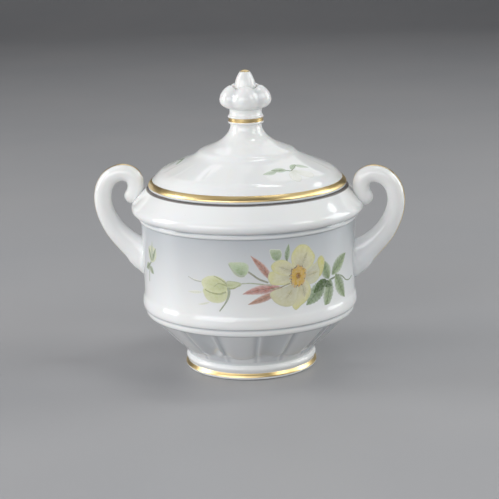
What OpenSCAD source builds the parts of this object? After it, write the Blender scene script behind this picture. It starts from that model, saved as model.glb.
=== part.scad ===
// Covered porcelain sugar bowl: a two-handled bowl on a foot ring, with a lift-off lid
// and a crown-and-bud finial, gilded on its edges.
// Millimetres, +Z up. Origin at the centre of the foot ring's resting face.
// The handles lie along X and the decorated front faces -Y.

/* [Bowl] */
// Outer radius of the wall just under the shoulder
wall_top_radius = 53.2; // [48:0.1:58]
// Outer radius of the wall just above the lower bead
wall_bottom_radius = 52.6; // [47:0.1:57]
// Outer radius at the widest point of the shoulder
shoulder_radius = 57.75; // [54:0.05:62]
// Height of the widest point of the shoulder
shoulder_height = 81.2; // [78:0.1:84]
// Height of the rim the lid rests on
rim_height = 91; // [88:0.5:94]
// Radius of the mouth inside the rim
mouth_radius = 45; // [42:0.1:47]
// Height of the inside floor
floor_height = 11.2; // [10:0.1:13]
// Number of hollow flutes round the lower bowl and round the lid
flute_count = 8; // [6:1:9]
// Angle taken by the rounded panels between them, as a share of the whole
panel_share = 0.6; // [0.5:0.05:0.7]
// Depth of a flute at its middle
flute_depth = 1.2; // [0.6:0.1:1.4]
// Depth of the grooves along the sides of a panel
groove_depth = 0.7; // [0.3:0.1:0.9]

/* [Foot] */
// Height of the foot ring
foot_height = 7; // [5:0.5:8]
// Outer radius of the collar at the top of the foot
foot_collar_radius = 32.6; // [30:0.1:35]
// Outer radius of the flared base
foot_base_radius = 33; // [30:0.1:36]
// Radius of the recess under the bowl
foot_recess_radius = 27.5; // [24:0.5:29]

/* [Handles] */
// Half the thickness of a handle across its flat sides
handle_half_width = 4.3; // [3.5:0.1:5]
// Half the width of a handle where it joins the wall
handle_root_half_width = 5.6; // [4.5:0.1:7]

/* [Lid] */
// Outer radius of the lid
lid_radius = 49; // [47:0.1:53]
// Outer radius of the ring under the lid that locates it in the mouth
flange_radius = 44.4; // [41:0.1:46.7]
// Depth of that ring below the rim
flange_depth = 8; // [5:0.5:10]
// Thickness of that ring
flange_thickness = 3; // [2.5:0.1:4]
// Depth of the lid's flutes at their lower ends
lid_flute_depth = 0.5; // [0.2:0.05:0.7]
// Turn of the lid in the mouth, where it may sit at any angle
lid_turn = 8; // [0:1:45]

/* [Finial] */
// Radius to the middle of the two beads round the neck
bead_centre_radius = 8.25; // [7:0.05:9]
// Radius of a bead's own curve
bead_curve = 0.6; // [0.4:0.05:0.9]
// Number of petals in the crown
petal_count = 5; // [4:1:8]
// Radius of the crown across the middle of a petal
crown_radius = 13; // [11:0.1:14]
// Radius of the crown in the folds between petals
fold_radius = 11.5; // [9:0.1:12]
// Widest radius of the bud
bud_radius = 5.2; // [4:0.1:5.5]

/* [Gilding] */
// Thickness of the gold bands and lines
gilt_thickness = 0.15; // [0.1:0.05:0.3]

/* [Hidden] */
$fn = 96;

porcelain = [0.93, 0.94, 0.95];
gold = [0.83, 0.66, 0.30];

lid_seat = rim_height;
flange_bottom = lid_seat - flange_depth;
neck_core = 7.75;
low_bead = [bead_centre_radius, 122.8];
high_bead = [bead_centre_radius, 125.5];
crown_base = 129.4;
bud_seat = 136.6;

flute_low = [34.2, 10.6];
flute_high = [50.2, 27.2];
lid_flute_high = [29, 105.4];
lid_flute_low = [43.6, 99.2];
lid_fade_depth = -0.1;
flute_tool_radius = 21.5;
flute_land = 0.6;
flute_end = 4.4;
flute_overrun = 2;
flute_pitch = 360 / flute_count;
half_flute = flute_pitch * (1 - panel_share) / 2 - flute_land;
groove_tool_radius = 2;
groove_angle = flute_pitch * panel_share / 2 - 2.2;
groove_start = 3;

tube_sides = 24;
span_steps = 4;
cap_steps = 5;

// Points of a cubic curve from a to d in n steps.
function bez(a, b, c, d, n) =
    [for (i = [0:n]) let (t = i / n, u = 1 - t)
        u * u * u * a + 3 * u * u * t * b + 3 * u * t * t * c + t * t * t * d];

// Points of a circular arc in n steps.
function arc(centre, r, from, to, n) =
    [for (i = [0:n]) let (a = from + (to - from) * i / n) centre + r * [cos(a), sin(a)]];

// A list without its first point, for joining one outline onto the last.
function rest(p) = [for (i = [1:len(p) - 1]) p[i]];

function reversed(p) = [for (i = [len(p) - 1:-1:0]) p[i]];

function unit(v) = v / norm(v);

// Outward side of an outline that runs upward, at point i.
function outward(p, i) =
    let (t = p[min(i + 1, len(p) - 1)] - p[max(i - 1, 0)]) [t[1], -t[0]] / norm(t);

// Closed outline of a thin layer lying on line p.
function layer(p) =
    concat(p, reversed([for (i = [0:len(p) - 1]) p[i] + gilt_thickness * outward(p, i)]));

// ---- Foot ring

foot_gilt_line = bez([32.05, 3.3], [32.2, 2.7], [32.7, 2.3], [foot_base_radius, 1.4], 6);

function foot_outline() = concat(
    [[foot_recess_radius, foot_height], [foot_recess_radius, 1.4]],
    bez([foot_recess_radius, 1.2], [27.7, 0.5], [28.3, 0.1], [29, 0], 5),
    [[31.4, 0]],
    bez([31.6, 0], [32.4, 0.1], [32.9, 0.5], [foot_base_radius, 1.2], 5),
    reversed(foot_gilt_line),
    rest(bez([32.05, 3.3], [31.95, 3.9], [32.35, 4.3], [foot_collar_radius, 5], 5)),
    rest(bez([foot_collar_radius, 5], [32.8, 5.8], [32.3, 6.6], [31.5, foot_height], 6)));

module foot_ring() {
    color(porcelain)
    rotate_extrude()
    polygon(foot_outline());
}

module gilt_foot_band() {
    color(gold)
    rotate_extrude()
    polygon(layer(reversed(foot_gilt_line)));
}

// ---- Bowl

// Outside of the bowl from the foot up to the rim.
function bowl_outside() = concat(
    bez([31.5, foot_height], [31.7, 8.2], [33, 9.4], flute_low, 6),
    rest(bez(flute_low, [39.2, 15.4], [45.3, 21.7], flute_high, 8)),
    bez(flute_high + [0.1, 0.3], [52, 27.6], [52.6, 29.2], [52.35, 31], 8),
    bez([52.35, 31.2], [54.1, 31.4], [53.8, 35.2], [53, 37.2], 10),
    rest(bez([53, 37.2], [52.7, 38], [wall_bottom_radius, 39], [wall_bottom_radius, 41], 5)),
    [[wall_top_radius, 74.8]],
    bez([wall_top_radius - 0.05, 75.1], [54.5, 75.4], [54.7, 77], [54.2, 77.8], 7),
    bez([54.2, 77.9], [55.6, 78.2], [shoulder_radius - 0.1, 79.2], [shoulder_radius, shoulder_height], 9),
    rest(bez([shoulder_radius, shoulder_height], [shoulder_radius + 0.1, 82.7], [56.8, 83.6], [56, 84.4], 8)),
    rest(bez([56, 84.4], [54.6, 85.9], [52.3, 88.6], [50.7, 90], 6)),
    rest(bez([50.7, 90], [50.2, 90.5], [49.8, rim_height], [49.2, rim_height], 5)));

// Inside of the bowl from the rim down to the middle of the floor.
function bowl_inside() = concat(
    bez([mouth_radius + 0.8, rim_height], [mouth_radius + 0.2, rim_height],
        [mouth_radius, rim_height - 0.2], [mouth_radius, rim_height - 0.8], 4),
    [[mouth_radius, 88.2]],
    bez([mouth_radius + 0.1, 87.6], [48, 86.8], [53.9, 82.6], [54, 80.6], 10),
    rest(bez([54, 80.6], [53.9, 78.6], [50.1, 75.6], [49.9, 71.5], 8)),
    [[49.4, 40]],
    bez([49.3, 38], [49.1, 33.4], [47.6, 29.8], [44, 26], 7),
    rest(bez([44, 26], [38, 20.2], [35, 17.2], [31, 14], 6)),
    rest(bez([31, 14], [29, 12.4], [26, floor_height], [22, floor_height], 6)),
    [[0, floor_height]]);

// Plan of one flute on a sloping face, its rounded end at y = 0: the half widths of its
// rounded end and of its square end, and its length.
function flute_plan(end_half, far_half, length) = concat(
    [[-far_half, length], [far_half, length]],
    [for (p = arc([0, 0], 1, 0, -180, 14)) [p[0] * end_half, flute_end * (1 + p[1])]]);

// One shallow cylindrical hollow between two points of an outline, cut to a flute's plan:
// near is the rounded end, far the square end, and depths are those at near and far.
module flute_tool(angle, near, far, depths) {
    length = norm(far - near);
    tilt = atan2(depths[0] - depths[1], length);
    on_slope(angle, near, far)
    intersection() {
        rotate([0, tilt, 0])
        translate([flute_tool_radius - depths[0], 0, -flute_end])
        cylinder(r = flute_tool_radius, h = length + 3 * flute_end, $fn = 180);
        rotate([90, 0, 90])
        translate([0, 0, -flute_end])
        linear_extrude(2 * flute_end)
        polygon(flute_plan(near[0] * sin(half_flute), far[0] * sin(half_flute), length));
    }
}

// Turns a tool that stands on +Z, pointing out along +X, to lie on the slope from near to far.
module on_slope(angle, near, far) {
    rotate([0, 0, angle])
    translate([near[0], 0, near[1]])
    rotate([0, 90 - atan2(far[1] - near[1], far[0] - near[0]), 0])
    children();
}

// The flutes, half a step away from the middle of the front.
module flute_set(turn, near, far, depths) {
    for (i = [0:flute_count - 1])
        flute_tool(turn - 90 + (i + 0.5) * flute_pitch, near, far, depths);
}

// A fine round groove along each side of every panel, fading out at its lower end.
module groove_set(near, far) {
    for (i = [0:flute_count - 1], side = [-1, 1])
        on_slope(i * flute_pitch - 90 + side * groove_angle, near, far)
        translate([groove_tool_radius, 0, groove_start])
        rotate([0, -atan2(groove_depth, norm(far - near) / 2), 0])
        cylinder(r = groove_tool_radius, h = 2 * norm(far - near));
}

module bowl_body() {
    color(porcelain)
    difference() {
        rotate_extrude($fn = 144)
        polygon(concat([[0, foot_height]], bowl_outside(), bowl_inside()));
        intersection() {
            union() {
                flute_set(0, flute_low, flute_high + flute_overrun * unit(flute_high - flute_low),
                    [flute_depth, flute_depth]);
                groove_set(flute_low, flute_high);
            }
            translate([0, 0, foot_height + 0.5])
            cylinder(r = shoulder_radius, h = flute_high[1] - foot_height - 0.4);
        }
    }
}

// ---- Handles

// Middle line of a handle, from its root in the wall over the scroll to the rounded end:
// distance from the axis, height, half thickness in the plane of the scroll.
handle_line = [
    [51.2, 54.6, 9.7], [54.3, 56, 8.5], [57.7, 58.7, 7], [61.2, 61.6, 6.1], [65.4, 65.7, 5.55],
    [69, 70.4, 5.1], [72.2, 77, 4.6], [73.45, 84.2, 4.35], [72, 90.7, 4.3], [68.2, 95.2, 4.3],
    [62.8, 97, 4.35], [58.2, 95.5, 4.35], [56.35, 91.7, 4.3], [56.8, 88.1, 4.2], [58.2, 85.4, 4.15]];
spans = len(handle_line) - 1;

function clamped(p, i) = p[max(0, min(len(p) - 1, i))];

// Smooth curve through the points of p at position s, counted in spans.
function through(p, s) =
    let (k = min(floor(s), len(p) - 2), t = s - k,
         a = clamped(p, k - 1), b = p[k], c = p[k + 1], d = clamped(p, k + 2))
    0.5 * (2 * b + (c - a) * t + (2 * a - 5 * b + 4 * c - d) * t * t
        + (3 * b - a - 3 * c + d) * t * t * t);

// Direction of the middle line; at the root it is square to the wall.
function heading(s) =
    let (step = 0.02, a = through(handle_line, max(0, s - step)),
         b = through(handle_line, min(spans, s + step)),
         v = [b[0] - a[0], b[1] - a[1]] / norm([b[0] - a[0], b[1] - a[1]]),
         turn = max(0, 1 - s / 1.5), w = (1 - turn) * v + turn * [1, 0])
    w / norm(w);

function half_width(s) =
    handle_half_width + (handle_root_half_width - handle_half_width) * pow(max(0, 1 - s / 4), 2);

// One ring of the tube: p is its centre and half thickness, v its heading,
// b its half width, shift a move along the heading, grow a layer's thickness.
function tube_ring(p, v, b, shift, grow, from, to) =
    [for (i = [from:to]) let (a = 360 * i / tube_sides, across = (p[2] + grow) * cos(a))
        [p[0] + v[0] * shift + v[1] * across, (b + grow) * sin(a), p[1] + v[1] * shift - v[0] * across]];

function handle_rings() = concat(
    [for (i = [0:spans * span_steps]) let (s = i / span_steps)
        tube_ring(through(handle_line, s), heading(s), half_width(s), 0, 0, 0, tube_sides - 1)],
    [for (i = [1:cap_steps]) let (a = 82 * i / cap_steps, end = handle_line[spans])
        tube_ring([end[0], end[1], end[2] * cos(a)], heading(spans), handle_half_width * cos(a),
            end[2] * sin(a), 0, 0, tube_sides - 1)]);

// Triangles round a stack of rings of n points each.
function stack_sides(rings, n) = concat(
    [for (i = [0:rings - 2], j = [0:n - 1]) [i * n + j, i * n + (j + 1) % n, (i + 1) * n + j]],
    [for (i = [0:rings - 2], j = [0:n - 1])
        [i * n + (j + 1) % n, (i + 1) * n + (j + 1) % n, (i + 1) * n + j]]);

// The same with one flat face at each end.
function stack_faces(rings, n) = concat(stack_sides(rings, n),
    [[for (j = [n - 1:-1:0]) j]],
    [[for (j = [0:n - 1]) (rings - 1) * n + j]]);

// The same with each end closed by triangles round a middle point; the two middle
// points follow the rings in the list.
function fanned_faces(rings, n) = concat(stack_sides(rings, n),
    [for (j = [0:n - 1]) [rings * n, (j + 1) % n, j]],
    [for (j = [0:n - 1]) [rings * n + 1, (rings - 1) * n + j, (rings - 1) * n + (j + 1) % n]]);

function joined(lists) = [for (l = lists, p = l) p];

module handle() {
    rings = handle_rings();
    polyhedron(joined(rings), stack_faces(len(rings), tube_sides), convexity = 6);
}

module handle_right() {
    color(porcelain)
    handle();
}

module handle_left() {
    color(porcelain)
    rotate([0, 0, 180])
    handle();
}

// Gold line along the outer spine of a handle, two sides of the tube wide.
gilt_from = 8;
gilt_to = 46;

module gilt_line() {
    rings = [for (i = [gilt_from:gilt_to]) let (s = i / span_steps, p = through(handle_line, s))
        concat(tube_ring(p, heading(s), half_width(s), 0, 0, -1, 1),
            reversed(tube_ring(p, heading(s), half_width(s), 0, gilt_thickness, -1, 1)))];
    polyhedron(joined(rings), stack_faces(len(rings), 6), convexity = 6);
}

module gilt_handle_right() {
    color(gold)
    gilt_line();
}

module gilt_handle_left() {
    color(gold)
    rotate([0, 0, 180])
    gilt_line();
}

// ---- Lid

lid_gilt_line = bez([lid_radius, 92.4], [lid_radius - 0.05, 93.3], [48, 94.2], [47, 95], 8);
neck_gilt_line = concat(arc(low_bead, bead_curve, 45, 80, 3), arc(high_bead, bead_curve, -80, -45, 3));

// Outside of the lid from the resting face up the neck to the crown.
function lid_outside() = concat(
    bez([lid_radius - 1.6, lid_seat], [lid_radius - 0.6, lid_seat], [lid_radius, 91.4], [lid_radius, 92.2], 6),
    lid_gilt_line,
    rest(bez([47, 95], [45.5, 96.2], [44.3, 98.9], [41.3, 100.2], 10)),
    bez([29, 105.4], [26.6, 106.4], [25.2, 107.2], [24, 108.5], 6),
    rest(bez([24, 108.5], [23, 109.5], [21, 110.1], [18, 111.3], 6)),
    rest(bez([18, 111.3], [12.6, 113.3], [8.6, 116.4], [neck_core, 120.6], 12)),
    arc(low_bead, bead_curve, -145, 45, 8),
    rest(neck_gilt_line),
    rest(arc(high_bead, bead_curve, -45, 60, 5)),
    bez([8.5, 126.15], [7.9, 126.6], [neck_core, 127.8], [8.1, crown_base], 6));

// Underside of the lid from the middle out to its locating ring.
function lid_inside() = concat(
    bez([0, 109.6], [6, 109.6], [10, 108.8], [15, 107.2], 6),
    rest(bez([15, 107.2], [20, 105.4], [24, 103.6], [28, 101.9], 5)),
    bez([39, 97.2], [40.4, 96.6], [41.4, 95.6], [flange_radius - flange_thickness, 94], 5),
    [[flange_radius - flange_thickness, flange_bottom + 1]],
    bez([flange_radius - flange_thickness + 0.2, flange_bottom + 0.4], [41.9, flange_bottom],
        [43.9, flange_bottom], [flange_radius - 0.1, flange_bottom + 0.7], 6),
    [[flange_radius, flange_bottom + 1.2], [flange_radius, lid_seat]]);

module lid_shell() {
    color(porcelain)
    difference() {
        rotate_extrude($fn = 144)
        polygon(concat([[0, crown_base]], lid_inside(), lid_outside()));
        flute_set(lid_turn, lid_flute_low, lid_flute_high, [lid_flute_depth, lid_fade_depth]);
    }
}

module gilt_lid_rim() {
    color(gold)
    rotate_extrude($fn = 144)
    polygon(layer(lid_gilt_line));
}

module gilt_neck_ring() {
    color(gold)
    rotate_extrude()
    polygon(layer(neck_gilt_line));
}

// ---- Finial

fold_steps = 12;
crown_sides = petal_count * fold_steps;

// Side of a petal from the neck over its tip and down inside, at its middle.
petal_line = concat(
    bez([8.3, crown_base], [10, 129.8], [crown_radius - 0.1, 131], [crown_radius, 134], 8),
    rest(bez([crown_radius, 134], [crown_radius + 0.1, 136.9], [10.6, 139.8], [8, 140.9], 8)),
    [[7.4, 141], [6.7, 140.3], [6.1, 138.8], [5.85, bud_seat]]);

// The same in the fold between two petals.
fold_line = concat(
    bez([8.3, crown_base], [9.6, 129.8], [fold_radius - 0.1, 130.9], [fold_radius, 133.4], 8),
    rest(bez([fold_radius, 133.4], [fold_radius + 0.1, 135.7], [9.8, 138.4], [7.9, 139.4], 8)),
    [[7.3, 139.5], [6.6, 139], [6.1, 138.1], [5.85, bud_seat]]);

function crown_points() = concat(
    [for (i = [0:len(petal_line) - 1], j = [0:crown_sides - 1])
        let (a = 360 * j / crown_sides, f = abs(cos(petal_count * a / 2)),
             p = f * petal_line[i] + (1 - f) * fold_line[i], turned = a + lid_turn - 90)
        [p[0] * cos(turned), p[0] * sin(turned), p[1]]],
    [[0, 0, crown_base], [0, 0, bud_seat]]);

module finial_crown() {
    color(porcelain)
    polyhedron(crown_points(), fanned_faces(len(petal_line), crown_sides), convexity = 6);
}

bud_side = concat(
    bez([4.4, bud_seat], [4.9, 137.4], [bud_radius, 138.4], [bud_radius, 139.6], 6),
    rest(bez([bud_radius, 139.6], [bud_radius, 142.2], [3.9, 145.4], [2.5, 147.3], 10)));
bud_tip_line = bez([2.5, 147.3], [1.9, 147.85], [1, 148.05], [0, 148.05], 6);

module finial_bud() {
    color(porcelain)
    rotate_extrude($fn = 72)
    polygon(concat([[0, bud_seat]], bud_side, rest(bud_tip_line)));
}

module gilt_bud_tip() {
    color(gold)
    rotate_extrude($fn = 72)
    polygon(concat(bud_tip_line, [[0, 148.05 + gilt_thickness]],
        reversed([for (i = [0:len(bud_tip_line) - 2])
            bud_tip_line[i] + gilt_thickness * outward(bud_tip_line, i)])));
}

bowl_body();
foot_ring();
handle_left();
handle_right();
lid_shell();
finial_crown();
finial_bud();
gilt_lid_rim();
gilt_neck_ring();
gilt_bud_tip();
gilt_foot_band();
gilt_handle_left();
gilt_handle_right();
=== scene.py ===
"""Looks for a covered porcelain sugar bowl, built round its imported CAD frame.

Porcelain and gold are turned or lofted from outlines; the flowers are thin closed patches
laid on them. Lengths of the object are millimetres here, and put_mesh stores metres.
"""
import bpy
import random
from math import atan2, ceil, cos, dist, exp, hypot, pi, radians, sin, sqrt
import numpy as np
from mathutils import Matrix


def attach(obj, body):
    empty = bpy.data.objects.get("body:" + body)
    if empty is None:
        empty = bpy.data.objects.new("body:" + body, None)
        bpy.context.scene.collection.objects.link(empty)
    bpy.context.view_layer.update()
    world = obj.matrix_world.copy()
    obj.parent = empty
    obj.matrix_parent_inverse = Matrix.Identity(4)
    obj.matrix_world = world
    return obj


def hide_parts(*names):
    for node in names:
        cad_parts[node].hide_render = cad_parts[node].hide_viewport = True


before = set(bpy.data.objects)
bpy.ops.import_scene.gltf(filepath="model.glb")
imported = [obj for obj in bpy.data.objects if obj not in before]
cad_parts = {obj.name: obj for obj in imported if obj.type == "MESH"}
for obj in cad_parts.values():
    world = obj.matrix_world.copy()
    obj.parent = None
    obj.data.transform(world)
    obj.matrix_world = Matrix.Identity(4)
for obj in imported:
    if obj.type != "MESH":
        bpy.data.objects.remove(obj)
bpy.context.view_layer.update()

MM = 0.001
rng = random.Random(7)
scene = bpy.context.scene


# ---- outlines

def bez(a, b, c, d, n):
    """Points of a cubic curve from a to d in n steps."""
    out = []
    for i in range(n + 1):
        t = i / n
        u = 1 - t
        w = (u * u * u, 3 * u * u * t, 3 * u * t * t, t * t * t)
        out.append(tuple(sum(k * p[j] for k, p in zip(w, (a, b, c, d))) for j in range(len(a))))
    return out


def arc(centre, r, start, end, n):
    """Points of a circular arc, angles in degrees."""
    out = []
    for i in range(n + 1):
        a = radians(start + (end - start) * i / n)
        out.append((centre[0] + r * cos(a), centre[1] + r * sin(a)))
    return out


def chain(*parts):
    """Joins point lists and leaves out repeated points."""
    out = []
    for part in parts:
        for p in part:
            if not out or dist(p, out[-1]) > 1e-4:
                out.append(tuple(float(v) for v in p))
    return out


def split(points, longest):
    """The same outline with no step longer than that."""
    out = [points[0]]
    for a, b in zip(points, points[1:]):
        n = max(1, ceil(dist(a, b) / longest))
        for i in range(1, n + 1):
            out.append(tuple(a[k] + (b[k] - a[k]) * i / n for k in range(len(a))))
    return out


def smoothstep(x, lo, hi):
    """0 up to lo, 1 from hi on, with a soft rise between them."""
    t = np.clip((x - lo) / (hi - lo), 0, 1)
    return t * t * (3 - 2 * t)


# Main radii and heights of the outlines, and points as (radius, height).
FOOT_H = 7.0
SHOULDER_R, SHOULDER_Z = 57.73, 81.2
RIM_Z = 91.0
MOUTH_R = 45.0
FLANGE_R, FLANGE_IN, FLANGE_LOW = 44.4, 41.4, 83.0
LID_R = 49.0
NECK_CORE = 7.75
LOW_BEAD, HIGH_BEAD, BEAD_CURVE = (8.25, 122.8), (8.25, 125.5), 0.6
CROWN_Z = 129.4
BUD_SEAT = 136.6
FLUTE_LOW, FLUTE_HIGH = (34.2, 10.6), (50.2, 27.2)

foot_gilt = bez((32.05, 3.3), (32.2, 2.7), (32.7, 2.3), (33, 1.4), 10)
foot_line = chain(
    [(27.5, FOOT_H), (27.5, 1.4)],
    bez((27.5, 1.2), (27.7, 0.5), (28.3, 0.1), (29, 0), 8),
    [(31.4, 0)],
    bez((31.6, 0), (32.4, 0.1), (32.9, 0.5), (33, 1.2), 8),
    foot_gilt[::-1],
    bez((32.05, 3.3), (31.95, 3.9), (32.35, 4.3), (32.6, 5), 8),
    bez((32.6, 5), (32.8, 5.8), (32.3, 6.6), (31.5, FOOT_H), 10))

bowl_outside = chain(
    bez((31.5, FOOT_H), (31.7, 8.2), (33, 9.4), FLUTE_LOW, 10),
    bez(FLUTE_LOW, (39.2, 15.4), (45.3, 21.7), FLUTE_HIGH, 24),
    bez((50.25, 27.35), (52, 27.6), (52.6, 29.2), (52.35, 31), 12),
    bez((52.35, 31.2), (54.1, 31.4), (53.8, 35.2), (53, 37.2), 16),
    bez((53, 37.2), (52.7, 38), (52.6, 39), (52.6, 41), 8),
    [(53.2, 74.8)],
    bez((53.15, 75.1), (54.5, 75.4), (54.7, 77), (54.2, 77.8), 12),
    bez((54.2, 77.9), (55.6, 78.2), (57.63, 79.2), (SHOULDER_R, SHOULDER_Z), 14),
    bez((SHOULDER_R, SHOULDER_Z), (57.83, 82.7), (56.8, 83.6), (56, 84.4), 12),
    bez((56, 84.4), (54.6, 85.9), (52.3, 88.6), (50.7, 90), 10),
    bez((50.7, 90), (50.2, 90.5), (49.8, RIM_Z), (49.2, RIM_Z), 8))
bowl_inside = chain(
    bez((45.8, RIM_Z), (45.2, RIM_Z), (MOUTH_R, 90.8), (MOUTH_R, 90.2), 6),
    [(MOUTH_R, 88.2)],
    bez((45.1, 87.6), (48, 86.8), (53.9, 82.6), (54, 80.6), 10),
    bez((54, 80.6), (53.9, 78.6), (50.1, 75.6), (49.9, 71.5), 8),
    [(49.4, 40)],
    bez((49.3, 38), (49.1, 33.4), (47.6, 29.8), (44, 26), 8),
    bez((44, 26), (38, 20.2), (35, 17.2), (31, 14), 7),
    bez((31, 14), (29, 12.4), (26, 11.2), (22, 11.2), 8),
    [(0, 11.2)])
bowl_line = chain([(0, FOOT_H), (31.5, FOOT_H)], bowl_outside, bowl_inside)

lid_gilt = bez((LID_R, 92.4), (48.95, 93.3), (48, 94.2), (47, 95), 14)
neck_gilt = chain(arc(LOW_BEAD, BEAD_CURVE, 45, 80, 5), arc(HIGH_BEAD, BEAD_CURVE, -80, -45, 5))
lid_outside = chain(
    bez((47.4, RIM_Z), (48.4, RIM_Z), (LID_R, 91.4), (LID_R, 92.2), 10),
    lid_gilt,
    bez((47, 95), (45.5, 96.2), (44.3, 98.9), (41.3, 100.2), 18),
    [(29, 105.4)],
    bez((29, 105.4), (26.6, 106.4), (25.2, 107.2), (24, 108.5), 12),
    bez((24, 108.5), (23, 109.5), (21, 110.1), (18, 111.3), 12),
    bez((18, 111.3), (12.6, 113.3), (8.6, 116.4), (NECK_CORE, 120.6), 20),
    arc(LOW_BEAD, BEAD_CURVE, -145, 45, 16),
    neck_gilt,
    arc(HIGH_BEAD, BEAD_CURVE, -45, 60, 10),
    bez((8.5, 126.15), (7.9, 126.6), (NECK_CORE, 127.8), (8.1, CROWN_Z), 10))
lid_inside = chain(
    bez((0, 109.6), (6, 109.6), (10, 108.8), (15, 107.2), 8),
    bez((15, 107.2), (20, 105.4), (24, 103.6), (28, 101.9), 7),
    bez((39, 97.2), (40.4, 96.6), (FLANGE_IN, 95.6), (FLANGE_IN, 94), 8),
    [(FLANGE_IN, FLANGE_LOW + 1)],
    bez((FLANGE_IN + 0.2, FLANGE_LOW + 0.4), (41.9, FLANGE_LOW), (43.9, FLANGE_LOW),
        (FLANGE_R - 0.1, FLANGE_LOW + 0.7), 8),
    [(FLANGE_R, FLANGE_LOW + 1.2), (FLANGE_R, RIM_Z)])
lid_line = chain(lid_inside, lid_outside, [(0, CROWN_Z)])


# ---- mesh helpers

def put(name, data):
    obj = bpy.data.objects.new(name, data)
    scene.collection.objects.link(obj)
    return obj


def put_mesh(name, verts, faces, materials, body, sharp=35, floats=None, colours=None, index=None):
    """A smooth-shaded mesh that rides on a body. Each of floats and colours becomes an
    attribute, and index gives each face's material."""
    mesh = bpy.data.meshes.new(name)
    mesh.from_pydata((np.asarray(verts, float) * MM).tolist(), [], faces)
    mesh.validate()
    for m in materials:
        mesh.materials.append(m)
    mesh.polygons.foreach_set("use_smooth", [True] * len(mesh.polygons))
    if index is not None:
        mesh.polygons.foreach_set("material_index", index)
    mesh.set_sharp_from_angle(angle=radians(sharp))
    for key, values in (floats or {}).items():
        layer = mesh.attributes.new(key, "FLOAT", "POINT")
        layer.data.foreach_set("value", np.asarray(values, np.float32))
    for key, values in (colours or {}).items():
        layer = mesh.attributes.new(key, "FLOAT_COLOR", "POINT")
        layer.data.foreach_set("color", np.asarray(values, np.float32).ravel())
    mesh.update()
    obj = put(name, mesh)
    if body:
        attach(obj, body)
    return obj


def revolve(name, line, sides, materials, body, closed, shift=None, floats=None, sharp=35, start=0.0):
    """Turns an outline round Z. shift(r, z, angle) gives moved r and z, and each of floats
    its values from the same. start is where the first side is, in degrees."""
    angles = radians(start) + np.linspace(0, 2 * pi, sides, endpoint=False)
    verts, rows, rz = [], [], []
    for r, z in line:
        if r < 1e-6:
            rows.append([len(verts)] * sides)
            verts.append((0.0, 0.0, z))
            rz.append((0.0, z, 0.0))
            continue
        rr, zz = np.full(sides, r), np.full(sides, z)
        if shift:
            rr, zz = shift(rr, zz, angles)
        rows.append(list(range(len(verts), len(verts) + sides)))
        verts.extend(zip(rr * np.cos(angles), rr * np.sin(angles), zz))
        rz.extend((r, z, a) for a in angles)
    faces = []
    for i in range(len(rows) if closed else len(rows) - 1):
        a, b = rows[i], rows[(i + 1) % len(rows)]
        for j in range(sides):
            k = (j + 1) % sides
            face = dict.fromkeys((a[j], a[k], b[k], b[j]))     # at a pole corners repeat
            if len(face) > 2:
                faces.append(tuple(face))
    rz = np.array(rz).T
    data = {key: values(*rz) for key, values in (floats or {}).items()}
    return put_mesh(name, verts, faces, materials, body, sharp, data)


def layer_line(line, thick):
    """Closed outline of a thin layer lying on an outline that runs upward."""
    outer = []
    for i, p in enumerate(line):
        a, b = line[max(0, i - 1)], line[min(len(line) - 1, i + 1)]
        n = dist(a, b)
        edge = 0.0 if i in (0, len(line) - 1) else thick
        outer.append((p[0] + edge * (b[1] - a[1]) / n, p[1] - edge * (b[0] - a[0]) / n))
    return chain(line, outer[::-1])[:-1]


# ---- material helpers

def srgb(code):
    """A screen colour given as six hex digits, as linear light."""
    levels = [int(code[i:i + 2], 16) / 255 for i in (0, 2, 4)]
    return (*(v / 12.92 if v <= 0.04045 else ((v + 0.055) / 1.055) ** 2.4 for v in levels), 1.0)


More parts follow.
